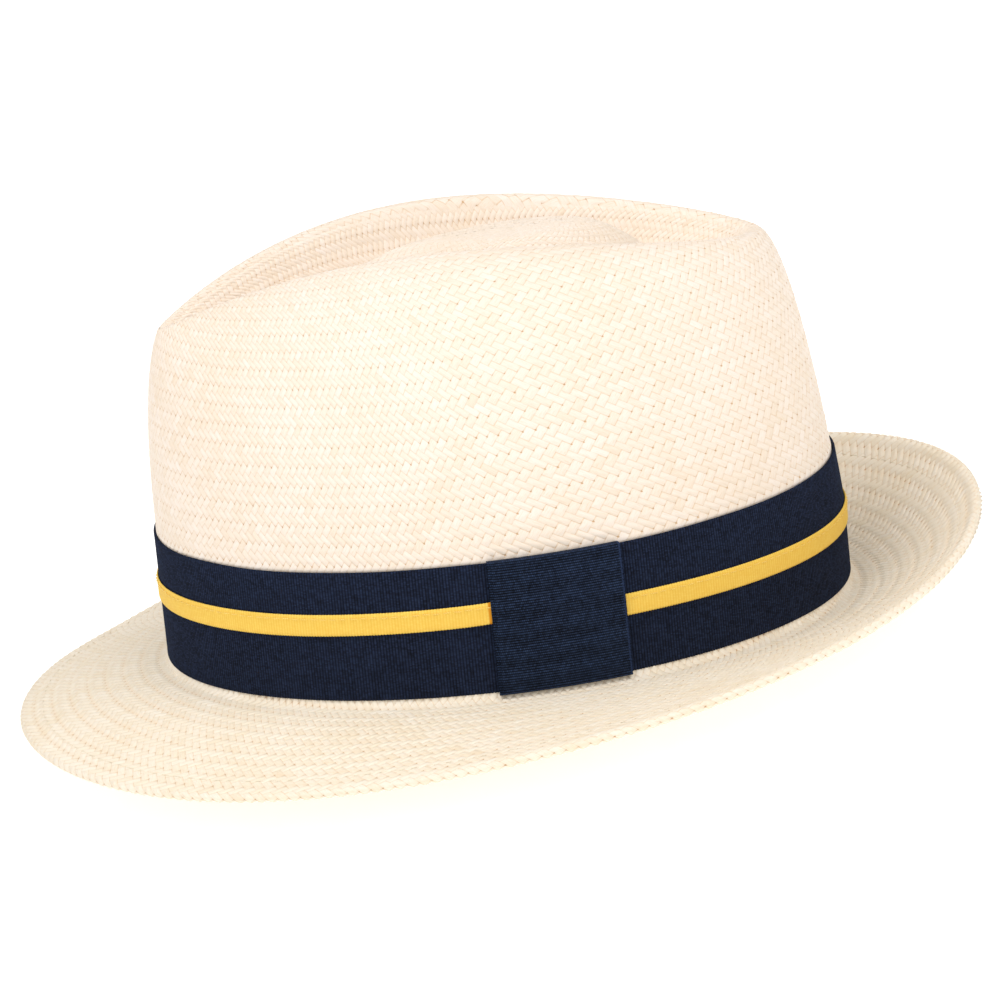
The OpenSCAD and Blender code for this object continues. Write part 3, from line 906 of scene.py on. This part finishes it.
def bow_knot():
    """A rounded block with ribs across."""
    q = np.linspace(0, 2 * np.pi, 33)[:-1]
    lo, hi, rows = -0.3, SMALL_TALL + 0.3, 24
    zz = np.linspace(lo, hi, rows)
    rx, ry = squircle(np.cos(q), 0.45, 1.6), squircle(np.sin(q), 0.45, 1.85)
    cap = np.clip(np.minimum(zz - lo, hi - zz) / 0.4, 0, 1) ** 0.5 * 0.22 + 0.78
    P = np.stack([rx[:, None] * cap[None], ry[:, None] * cap[None] + 0.55, zz[None] + 0 * rx[:, None]], -1)
    P[..., 0] += 0.05 * np.cos(np.pi * np.arange(rows))[None]
    return P


def small_bow():
    """Flat bow of narrow ribbon over the sweatband's joint: two loops and a knot, in one mesh."""
    V, Q, UV, caps = [], [], [], []
    at = 0
    for P, closed, flip, du in ((bow_loop(-1), True, True, 0.35), (bow_loop(1), True, False, 0.35),
                                (bow_knot(), False, False, 0.3)):
        n, m = P.shape[:2]
        I, J = np.meshgrid(np.arange(n), np.arange(m if closed else m - 1), indexing="ij")
        ring = [(I, J), (I + 1, J), (I + 1, J + 1), (I, J + 1)]
        if flip:
            ring = ring[::-1]
        Q.append(np.stack([at + (i % n) * m + j % m for i, j in ring], -1).reshape(-1, 4))
        UV.append(np.stack([np.stack([i * du, (j % m) * 0.25], -1) for i, j in ring], -2).reshape(-1, 2))
        V.append(P.reshape(-1, 3))
        if not closed:
            for j, turned in ((0, True), (m - 1, False)):
                centre = len(np.concatenate(V))
                V.append(P[:, j].mean(0)[None])
                for i in range(n):
                    t = [at + i * m + j, at + ((i + 1) % n) * m + j, centre]
                    caps.append(t[::-1] if turned else t)
        at += n * m
    face = HALF_LEN - SWEAT_IN - SWEAT_T
    V = np.concatenate(V) + np.array([0, face - 2.7, SMALL_Z])
    UV.append(np.zeros((len(caps) * 3, 2)))
    return make("sweatband_bow_cloth", row(V), np.concatenate(Q), np.concatenate(UV), tris=np.array(caps),
                uv_name="cloth")


small_bow_ob = small_bow()


# ---------------------------------------------------------------- materials
class Graph:
    """Small helper that writes shader node graphs as sums."""

    def __init__(self, name):
        self.mat = bpy.data.materials.new(name)
        self.mat.use_nodes = True
        self.t = self.mat.node_tree
        self.bsdf = self.t.nodes["Principled BSDF"]

    def put(self, sock, v):
        """Link or set a socket, or the shader's own one of that name."""
        if isinstance(sock, str):
            sock = self.bsdf.inputs[sock]
        if isinstance(v, bpy.types.NodeSocket):
            self.t.links.new(v, sock)
        elif isinstance(v, (tuple, list)) and len(v) == 3 and len(sock.default_value) == 4:
            sock.default_value = (*v, 1)
        else:
            sock.default_value = v

    def m(self, op, a, b=0.0, c=0.0, clamp=False):
        n = self.t.nodes.new("ShaderNodeMath")
        n.operation, n.use_clamp = op, clamp
        for i, v in enumerate((a, b, c)):
            self.put(n.inputs[i], v)
        return n.outputs[0]

    def add(self, a, b, clamp=False):
        return self.m("ADD", a, b, clamp=clamp)

    def sub(self, a, b):
        return self.m("SUBTRACT", a, b)

    def mul(self, a, b):
        return self.m("MULTIPLY", a, b)

    def uv(self, name):
        n = self.t.nodes.new("ShaderNodeUVMap")
        n.uv_map = name
        s = self.t.nodes.new("ShaderNodeSeparateXYZ")
        self.t.links.new(n.outputs[0], s.inputs[0])
        return s.outputs[0], s.outputs[1]

    def xyz(self, x=0.0, y=0.0, z=0.0):
        n = self.t.nodes.new("ShaderNodeCombineXYZ")
        for i, v in enumerate((x, y, z)):
            self.put(n.inputs[i], v)
        return n.outputs[0]

    def noise(self, vec, scale, detail=2.0, rough=0.5):
        n = self.t.nodes.new("ShaderNodeTexNoise")
        for key, v in (("Vector", vec), ("Scale", scale), ("Detail", detail), ("Roughness", rough)):
            self.put(n.inputs[key], v)
        return n.outputs[0]

    def white(self, vec):
        n = self.t.nodes.new("ShaderNodeTexWhiteNoise")
        n.noise_dimensions = "3D"
        self.put(n.inputs["Vector"], vec)
        return n.outputs["Value"]

    def mix(self, f, a, b):
        n = self.t.nodes.new("ShaderNodeMix")
        n.data_type = "RGBA"
        self.put(n.inputs[0], f)
        self.put(n.inputs[6], a)
        self.put(n.inputs[7], b)
        return n.outputs[2]

    def step(self, v, lo, hi, out0=0.0, out1=1.0):
        n = self.t.nodes.new("ShaderNodeMapRange")
        n.interpolation_type = "SMOOTHSTEP"
        for i, x in enumerate((v, lo, hi, out0, out1)):
            self.put(n.inputs[i], x)
        return n.outputs[0]

    def pick(self, cond, a, b):
        """a where cond is 1, b where it is 0."""
        return self.add(self.mul(cond, a), self.mul(self.sub(1.0, cond), b))

    def bump(self, height, dist, strength=1.0):
        n = self.t.nodes.new("ShaderNodeBump")
        n.inputs["Strength"].default_value = strength
        n.inputs["Distance"].default_value = dist
        self.put(n.inputs["Height"], height)
        self.t.links.new(n.outputs[0], self.bsdf.inputs["Normal"])

    def coord(self):
        n = self.t.nodes.new("ShaderNodeTexCoord")
        return n.outputs["Object"]


def straw_material(name, cream, light, relief=0.00010, ring_shade=0.0, arched=False):
    """Palm straw in a twill: each float has its own tone and grain, with painted shade in the grooves between
    strands, at the float ends and round the pinholes at its corners.
    """
    tan, deep = (0.76, 0.54, 0.315), (0.60, 0.375, 0.19)
    g = Graph(name)
    a, b = g.uv("weave")
    fa, fb = g.m("FLOOR", a), g.m("FLOOR", b)
    ra, rb = g.m("FRACT", a), g.m("FRACT", b)
    d = g.m("FLOORED_MODULO", g.sub(fa, fb), 4.0)
    is_a = g.m("LESS_THAN", d, 1.5)
    across = g.pick(is_a, ra, rb)
    along = g.pick(is_a, g.mul(g.add(rb, g.sub(1.0, d)), 0.5), g.mul(g.add(ra, g.sub(d, 2.0)), 0.5))
    sid = g.pick(is_a, fa, g.add(fb, 511.0))
    # the float this cell belongs to: the same number for both its cells
    fid = g.pick(is_a, g.m("FLOOR", g.m("DIVIDE", g.add(g.sub(fb, fa), 1.0), 4.0)),
                 g.m("FLOOR", g.m("DIVIDE", g.sub(g.sub(fa, fb), 2.0), 4.0)))
    strand = g.white(g.xyz(sid, 3.0, 0.0))
    one = g.white(g.xyz(sid, fid, 7.0))
    edge_d = g.m("MINIMUM", across, g.sub(1.0, across))
    end_d = g.m("MINIMUM", along, g.sub(1.0, along))
    grain = g.noise(g.xyz(g.mul(across, 9.0), g.mul(along, 1.6), g.add(sid, g.mul(fid, 3.7))), 1.0, 3.0, 0.6)
    blotch = g.noise(g.coord(), 38.0, 3.0, 0.55)
    fine = g.noise(g.coord(), 900.0, 2.0, 0.6)
    tone = g.add(g.mul(strand, 0.45), g.mul(one, 0.35))
    tone = g.add(tone, g.mul(g.sub(blotch, 0.5), 0.7))
    col = g.mix(g.add(tone, 0.1, clamp=True), cream, light)
    col = g.mix(g.step(grain, 0.50, 0.78, 0.0, 0.34), col, tan)
    own = g.add(g.mul(sid, 3.1), fid)
    streak = g.noise(g.xyz(g.mul(across, 22.0), g.mul(along, 2.2), own), 1.0, 2.0, 0.7)
    col = g.mix(g.step(streak, 0.50, 0.70, 0.0, 0.60), col, light)
    col = g.mix(g.step(streak, 0.30, 0.46, 0.30, 0.0), col, tan)
    odd = g.step(g.white(g.xyz(sid, fid, 19.0)), 0.975, 1.0, 0.0, 0.16)
    col = g.mix(odd, col, tan)
    # painted shade: thin tan lines in the grooves between strands, and darker float ends where each float
    # dives under the crossing strand, at random strength
    edge_n = g.noise(g.xyz(g.mul(a, 1.3), g.mul(b, 1.3), 4.0), 1.0, 2.0)
    line = g.step(g.add(edge_d, g.mul(g.sub(edge_n, 0.5), 0.26)), 0.0, 0.10, 1.0, 0.0)
    end_tone = g.step(g.white(g.xyz(sid, fid, g.m("ROUND", along))), 0.15, 0.85, 0.25, 1.0)
    ends = g.mul(g.step(end_d, 0.0, 0.075, 1.0, 0.0), end_tone)
    dark = g.m("MAXIMUM", g.mul(line, 0.20), g.mul(ends, 0.62))
    col = g.mix(dark, col, tan)
    # painted shade: tan lines along the brim's rows of holes, in the dips between its rings, in patches
    if ring_shade:
        s = g.mul(g.sub(a, b), 0.5)
        wave = g.m("COSINE", g.mul(g.sub(s, 1.5), math.pi))
        ring = g.m("POWER", g.add(0.5, g.mul(wave, 0.5)), 7.0)
        patchy = g.step(g.noise(g.coord(), 26.0, 2.0), 0.38, 0.62, 0.25, 1.0)
        col = g.mix(g.mul(g.mul(ring, patchy), ring_shade), col, tan)
    # pinholes at the corners of the weave, painted dark as the shade seen in them
    na, nb = g.m("ROUND", a), g.m("ROUND", b)
    cd = g.m("FLOORED_MODULO", g.sub(na, nb), 4.0)
    main_row = g.m("LESS_THAN", g.m("ABSOLUTE", g.sub(cd, float(HOLE_ROW))), 0.5)
    size = g.white(g.xyz(na, nb, 2.0))
    away_a, away_b = (g.m("POWER", g.m("ABSOLUTE", g.sub(v, w)), 2.0) for v, w in ((a, na), (b, nb)))
    dist = g.m("SQRT", g.add(away_a, away_b))
    big = g.mul(g.add(0.01, g.mul(size, 0.13)), g.add(0.45, g.mul(main_row, 0.55)))
    # painted shade: a darker float end by each hole
    shade_by_hole = g.mul(g.step(dist, 0.10, 0.62, 1.0, 0.0), g.add(0.35, g.mul(main_row, 0.65)))
    rim = g.m("MAXIMUM", g.step(end_d, 0.0, 0.06, 1.0, 0.0), g.step(edge_d, 0.0, 0.05, 0.6, 0.0))
    shade_by_hole = g.mul(shade_by_hole, rim)
    col = g.mix(g.mul(shade_by_hole, 0.75), col, deep)
    hole = g.step(g.sub(dist, big), -0.035, 0.03, 1.0, 0.0)
    hole = g.mul(hole, g.add(0.40, g.mul(main_row, 0.45)))
    col = g.mix(hole, col, deep)
    g.put("Base Color", col)
    g.put("Roughness", g.step(grain, 0.3, 0.8, 0.50, 0.68))
    g.put("Specular IOR Level", 0.35)
    g.put("Sheen Weight", 0.05)
    height = g.sub(g.mul(grain, 0.35), g.mul(line, 0.35))
    height = g.sub(height, g.mul(hole, 0.8))
    height = g.add(height, g.mul(fine, 0.10))
    if arched:
        arch = g.mul(g.m("SINE", g.mul(along, math.pi)), g.step(edge_d, 0.0, 0.25))
        height = g.add(height, arch)
    g.bump(height, relief, 0.9)
    return g.mat


def ribbon_material(name, dark, light, rib_axis, pitch, rough=0.62, sheen=0.25, bead_pitch=0.6,
                    bead_depth=0.5, selvedge_and_shade=None, rib=1.0, spark=0.28):
    """Grosgrain: ribs along one axis of the cloth with threads beading across them, and a flat band of colour
    across it. The colour runs from dark in the rib hollows to light on the crests and beads, painted shade
    and highlight, with random brightness per bead.
    """
    g = Graph(name)
    x, y = g.uv("cloth")
    r, t = (x, y) if rib_axis == "x" else (y, x)
    phase = g.m("FRACT", g.m("DIVIDE", r, pitch))
    wave = g.m("SINE", g.mul(phase, math.pi))
    row_n = g.m("FLOOR", g.m("DIVIDE", r, pitch))
    shifted = g.add(g.m("DIVIDE", t, bead_pitch), g.mul(g.m("FLOORED_MODULO", row_n, 2.0), 0.5))
    thread = g.m("SINE", g.mul(g.m("FRACT", shifted), math.pi))
    cell = g.white(g.xyz(row_n, g.m("FLOOR", shifted), 1.0))
    n = g.noise(g.coord(), 420.0, 3.0)
    big = g.noise(g.coord(), 30.0, 2.0)
    wave = g.add(1.0 - rib, g.mul(g.m("POWER", wave, 1.6), rib))
    f = g.mul(wave, g.add(1.0 - bead_depth, g.mul(thread, bead_depth)))
    f = g.mul(f, g.add(1.0 - spark, g.mul(cell, spark)))
    f = g.add(f, g.mul(g.sub(n, 0.5), 0.35))
    f = g.add(f, g.mul(g.sub(big, 0.5), 0.15), clamp=True)
    # painted shade and highlight: dark in the rib hollows, light on the rib crests and beads
    col = g.mix(f, dark, light)
    if selvedge_and_shade:
        lo, hi, c = selvedge_and_shade
        col = g.mix(g.mul(g.step(x, lo, lo + 0.3), g.step(x, hi, hi + 0.3, 1.0, 0.0)), col, c)
    g.put("Base Color", col)
    g.put("Roughness", rough)
    g.put("Specular IOR Level", 0.12)
    g.put("Sheen Weight", sheen)
    g.put("Sheen Roughness", 0.5)
    h = g.add(g.mul(thread, 0.5), g.mul(n, 0.6))
    h = g.add(h, g.mul(cell, 0.35))
    g.bump(h, 0.00006, 0.8)
    return g.mat


def thread_material(name, dark, light):
    g = Graph(name)
    x, y = g.uv("cloth")
    ply = g.m("FRACT", g.add(g.mul(x, 1.6), y))
    tw = g.m("SINE", g.mul(ply, math.pi))
    # painted shade and highlight along the twist: dark between the plies, light on their tops
    g.put("Base Color", g.mix(tw, dark, light))
    g.put("Roughness", 0.6)
    g.bump(tw, 0.00005, 0.8)
    return g.mat


def leather_material(name):
    g = Graph(name)
    big = g.noise(g.coord(), 45.0, 4.0)
    v = g.t.nodes.new("ShaderNodeTexVoronoi")
    v.inputs["Scale"].default_value = 900.0
    g.put(v.inputs["Vector"], g.coord())
    pores = g.noise(g.coord(), 1500.0, 2.0)
    g.put("Base Color", g.mix(big, (0.36, 0.205, 0.105), (0.52, 0.33, 0.18)))
    g.put("Roughness", g.step(pores, 0.2, 0.8, 0.42, 0.62))
    g.bump(g.add(v.outputs[0], g.mul(pores, 0.5)), 0.00006, 0.7)
    return g.mat


def plain_material(name, colour, rough, spec=0.4):
    g = Graph(name)
    n = g.noise(g.coord(), 120.0, 3.0)
    c2 = tuple(min(1, c * 1.12) for c in colour)
    g.put("Base Color", g.mix(n, colour, c2))
    g.put("Roughness", rough)
    g.put("Specular IOR Level", spec)
    g.bump(n, 0.00003, 0.4)
    return g.mat


STRAW_OUT = straw_material("straw_weave", (0.86, 0.738, 0.605), (0.92, 0.835, 0.765))
# the brim's straw is a lighter, yellower copy of the crown's: painted light on the brim
STRAW_BRIM_LIT = straw_material("straw_weave_brim_lit", (0.88, 0.775, 0.61), (0.94, 0.875, 0.775), ring_shade=0.22)
STRAW_IN = straw_material("straw_weave_inside", (0.80, 0.70, 0.545), (0.86, 0.785, 0.65), relief=0.00022,
                          arched=True)
RIB_STEP = AROUND / BAND_RIBS
# each ribbon's dark and light colours are its painted rib shade and highlight; the bow wrap's highlight is
# brighter than the band's
NAVY = ribbon_material("navy_grosgrain", (0.0003, 0.0006, 0.0025), (0.0225, 0.0365, 0.086), "x", RIB_STEP,
                       rough=0.85, sheen=0.0, bead_pitch=0.42, bead_depth=0.6, rib=0.75, spark=0.6)
NAVY_BOW = ribbon_material("navy_grosgrain_bow", (0.0002, 0.0005, 0.0020), (0.032, 0.057, 0.128), "y",
                           BOW_RIB, rough=0.85, sheen=0.0, bead_pitch=0.55, bead_depth=0.7, spark=0.55,
                           selvedge_and_shade=(38.3, 60.0, (0.020, 0.035, 0.085)))
# painted shade: a deeper orange line just before the wrap, where the stripe's end turns under it
STRIPE_END = float(np.interp(BOW_MID - BOW_HALF, ARC_A, ARC_S))
YELLOW = ribbon_material("yellow_grosgrain", (0.83, 0.48, 0.055), (0.94, 0.675, 0.145), "x", RIB_STEP,
                         sheen=0.02, bead_pitch=0.5, bead_depth=0.3, rib=0.55,
                         selvedge_and_shade=(STRIPE_END - 0.9, STRIPE_END - 0.2, (0.80, 0.32, 0.02)))
YELLOW_THREAD = thread_material("yellow_stitch", (0.80, 0.42, 0.04), (0.99, 0.78, 0.22))
HEM_THREAD = thread_material("hem_stitch", (0.76, 0.65, 0.48), (0.88, 0.80, 0.66))
LEATHER = leather_material("sweatband_leather")
TAPE = ribbon_material("cotton_tape", (0.55, 0.49, 0.38), (0.74, 0.69, 0.58), "x", 0.5, rough=0.8)
REED = plain_material("reed_plastic", (0.62, 0.62, 0.58), 0.35)
WIRE = plain_material("clear_line", (0.66, 0.66, 0.62), 0.3)

# pieces, material, the design's node they stand for, and slot
FINISH = [
    (pieces, STRAW_OUT, "crown", "straw"),
    (brim_pieces, STRAW_BRIM_LIT, "brim", "straw"),
    ([band], NAVY, "band_ribbon", "navy_ribbon"),
    ([stripe], YELLOW, "stripe_ribbon", "yellow_ribbon"),
    ([bow], NAVY_BOW, "bow_wrap", "navy_ribbon"),
    ([stripe_stitches], YELLOW_THREAD, "stripe_stitching", "yellow_thread"),
    ([hem_stitches], HEM_THREAD, "hem_stitching", "straw_thread"),
    ([wire_ob], WIRE, "edge_wire", "wire"),
    ([sweat_ob], LEATHER, "sweatband", "sweatband"),
    ([reed_ob], REED, "sweatband_reed", "reed"),
    ([tape_ob], TAPE, "reed_tape", "tape"),
    ([sweat_stitches], HEM_THREAD, "sweatband_stitching", "straw_thread"),
    ([small_bow_ob], NAVY, "sweatband_bow", "navy_ribbon"),
]
for group, mat, node, slot in FINISH:
    for ob in group:
        ob.data.materials.clear()
        ob.data.materials.append(STRAW_IN if ob.name in ("crown_inside", "brim_underside") else mat)
        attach(ob, "root")
        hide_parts(node)
        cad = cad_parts[node]
        cad.data.materials.clear()
        cad.data.materials.append(mat)

# ---------------------------------------------------------------- floor and light
floor_material = plain_material("floor", (0.80, 0.80, 0.80), 0.9, 0.0)
shine = floor_material.node_tree.nodes["Principled BSDF"].inputs
shine["Emission Color"].default_value = (1, 1, 1, 1)
shine["Emission Strength"].default_value = 0.55
FLOOR_HALF = 6.0
corners = [(-FLOOR_HALF, -FLOOR_HALF, 0), (FLOOR_HALF, -FLOOR_HALF, 0), (FLOOR_HALF, FLOOR_HALF, 0),
           (-FLOOR_HALF, FLOOR_HALF, 0)]
floor_mesh = bpy.data.meshes.new("floor")
floor_mesh.from_pydata(corners, [], [(0, 1, 2, 3)])
floor = bpy.data.objects.new("floor", floor_mesh)
bpy.context.scene.collection.objects.link(floor)
floor.data.materials.append(floor_material)

world = bpy.data.worlds.new("studio")
bpy.context.scene.world = world
world.use_nodes = True
world.node_tree.nodes["Background"].inputs[0].default_value = (1.0, 0.96, 0.90, 1)
world.node_tree.nodes["Background"].inputs[1].default_value = 0.54

CAM_AZ, CAM_EL, CAM_ROLL = 80.1920, 17.0809, 13.7471
AIM = Vector((0.0039291, 0.0063124, 0.0524307))
DIST, LENS = 1.57238, 186.879
az, el, rl = (math.radians(v) for v in (CAM_AZ, CAM_EL, CAM_ROLL))
back = Vector((math.sin(az) * math.cos(el), -math.cos(az) * math.cos(el), math.sin(el)))
right = Vector((math.cos(az), math.sin(az), 0))
up = back.cross(right)


def area_light(name, direction, dist, size, power, colour=(1, 1, 1)):
    d = bpy.data.lights.new(name, "AREA")
    d.shape, d.size, d.energy, d.color = "DISK", size, power, colour
    o = bpy.data.objects.new(name, d)
    bpy.context.scene.collection.objects.link(o)
    v = (right * direction[0] + up * direction[1] + back * direction[2]).normalized()
    o.location = AIM + v * dist
    o.rotation_euler = (-v).to_track_quat("-Z", "Y").to_euler()
    return o


area_light("key", (-0.30, 0.35, 0.85), 1.9, 1.1, 5.6)
area_light("high", (-0.22, 1.0, 0.50), 1.8, 1.1, 11.8)
area_light("fill", (0.58, 0.72, 0.66), 1.9, 1.2, 9.4)

cam_data = bpy.data.cameras.new("camera")
cam = bpy.data.objects.new("camera", cam_data)
bpy.context.scene.collection.objects.link(cam)
cam_data.lens, cam_data.sensor_width = LENS, 36.0
# the camera looks along -back, rolled about it
cam_x = right * math.cos(rl) - up * math.sin(rl)
cam_y = right * math.sin(rl) + up * math.cos(rl)
place = AIM + back * DIST
cam.matrix_world = Matrix((cam_x, cam_y, back)).transposed().to_4x4()
cam.matrix_world.translation = place
cam_data.clip_start, cam_data.clip_end = 0.05, 50
bpy.context.scene.camera = cam
bpy.context.scene.view_settings.view_transform = "Standard"
